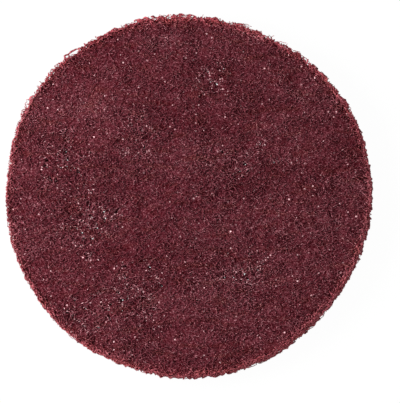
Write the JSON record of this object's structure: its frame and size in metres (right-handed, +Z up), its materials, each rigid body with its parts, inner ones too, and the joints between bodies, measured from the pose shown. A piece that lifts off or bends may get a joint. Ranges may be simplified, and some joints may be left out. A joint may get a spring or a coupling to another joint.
{
  "type": "polishing disc",
  "caption": "Round die-cut disc of springy non-woven nylon web coated with fine grit, ragged at the rim, for scuffing and polishing by hand or on a grip pad.",
  "frame": {"origin": "centre of the underside, on the surface that the disc lies on", "axes": "+Z up through the disc's thickness; +X to the right and +Y to the top of the picture"},
  "size_m": [0.1248, 0.125, 0.0095],
  "materials": {
    "nylon_web": "matte curly nylon fibre with a maroon resin and grit coat"
  },
  "bodies": {
    "root": {"fibre_web": "nylon_web"}
  },
  "joints": []
}
